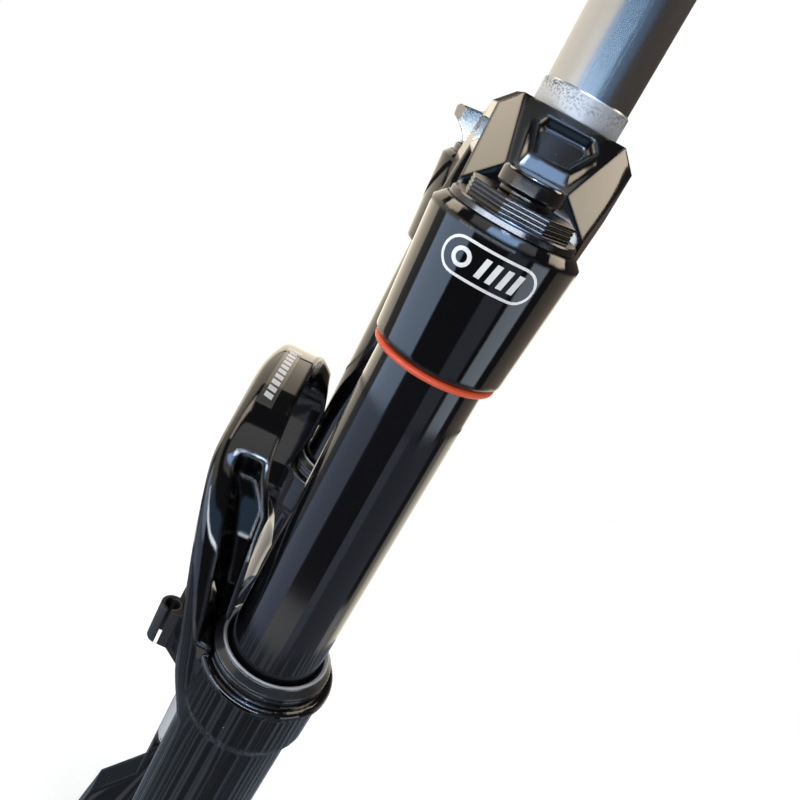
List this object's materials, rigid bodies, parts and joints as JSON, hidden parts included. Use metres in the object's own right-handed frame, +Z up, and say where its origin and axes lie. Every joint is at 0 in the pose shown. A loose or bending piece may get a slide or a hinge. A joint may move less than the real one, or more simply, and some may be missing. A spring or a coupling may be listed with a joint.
{
  "type": "bicycle suspension fork",
  "caption": "Telescopic bicycle suspension fork with a straight steerer, faceted crown, arched one-piece lower legs, air spring and lockout lever.",
  "frame": {"origin": "on the steerer axis, at the foot of the crown race seat on top of the crown", "axes": "+Z up along the steerer, -Y to the front of the bicycle (the arch side), +X to the rider's left (the disc brake side)"},
  "size_m": [0.179, 0.0795, 0.7271],
  "materials": {
    "steerer_alloy": "drawn aluminium, dull grey, bright where the race seat is turned",
    "crown_paint": "forged aluminium under gloss black paint",
    "stanchion_anodised": "hard black anodising, polished",
    "cap_alloy": "satin black anodising",
    "oring_rubber": "smooth black rubber",
    "valve_brass": "nickelled brass",
    "valve_cap_plastic": "gloss black",
    "damper_alloy": "machined",
    "spindle_steel": "turned steel",
    "bolt_steel": "black oxide steel",
    "lever_paint": "dark polished alloy",
    "lowers_paint": "cast magnesium under gloss black paint",
    "seal_rubber": "moulded black rubber, satin",
    "foam": "open foam soaked in oil",
    "bushing": "bronze backed sliding bush",
    "shaft_chrome": "hard chromed steel",
    "piston_plastic": "moulded nylon",
    "bumper_rubber": "firm rubber",
    "guide_plastic": "moulded black nylon",
    "ring_orange": "orange rubber ring"
  },
  "bodies": {
    "uppers": {"steerer_tube": "steerer_alloy", "crown": "crown_paint", "stanchion_left": "stanchion_anodised", "stanchion_right": "stanchion_anodised", "air_top_cap": "cap_alloy", "air_top_cap_oring": "oring_rubber", "air_valve_stem": "valve_brass", "air_valve_core": "valve_brass", "damper_top_cap": "cap_alloy", "damper_top_cap_oring": "oring_rubber", "compression_valve": "damper_alloy", "air_seal_head": "damper_alloy", "damper_seal_head": "damper_alloy", "seal_head_circlips": "bolt_steel"},
    "lowers": {"lower_legs": "lowers_paint", "dust_seal_left": "seal_rubber", "dust_seal_right": "seal_rubber", "foam_ring_left": "foam", "foam_ring_right": "foam", "upper_bushing_left": "bushing", "upper_bushing_right": "bushing", "lower_bushing_left": "bushing", "lower_bushing_right": "bushing", "air_shaft": "shaft_chrome", "damper_shaft": "shaft_chrome", "air_piston": "piston_plastic", "air_piston_seal": "oring_rubber", "damper_piston": "damper_alloy", "top_out_bumper_left": "bumper_rubber", "top_out_bumper_right": "bumper_rubber", "bottom_out_bumper_left": "bumper_rubber", "bottom_out_bumper_right": "bumper_rubber", "foot_bolts": "bolt_steel", "foot_washers": "bolt_steel", "hose_guide": "guide_plastic", "hose_guide_screw": "bolt_steel"},
    "lockout": {"lockout_lever": "lever_paint", "lockout_spindle": "spindle_steel", "lockout_screw": "bolt_steel"},
    "valve_cap": {"air_valve_cap": "valve_cap_plastic"},
    "valve_pin": {"air_valve_pin": "valve_brass"},
    "travel_ring": {"travel_ring": "ring_orange"}
  },
  "joints": [
    {"name": "fork_travel", "type": "slide", "parent": "uppers", "child": "lowers", "axis": [0, 0, 1], "range_m": [0, 0.1], "stiffness_N_per_m": 6000, "springref_m": -0.01},
    {"name": "lockout_turn", "type": "hinge", "parent": "uppers", "child": "lockout", "pos_m": [-0.066, -0.011, -0.02], "axis": [0, 0, -1], "range_deg": [0, 90]},
    {"name": "valve_cap_lift", "type": "slide", "parent": "uppers", "child": "valve_cap", "axis": [0, 0, 1], "range_m": [0, 0.02]},
    {"name": "valve_pin_press", "type": "slide", "parent": "uppers", "child": "valve_pin", "axis": [0, 0, -1], "range_m": [0, 0.0015], "stiffness_N_per_m": 400, "springref_m": -0.0005},
    {"name": "travel_ring_slide", "type": "slide", "parent": "uppers", "child": "travel_ring", "axis": [0, 0, -1], "range_m": [0, 0.01]}
  ]
}
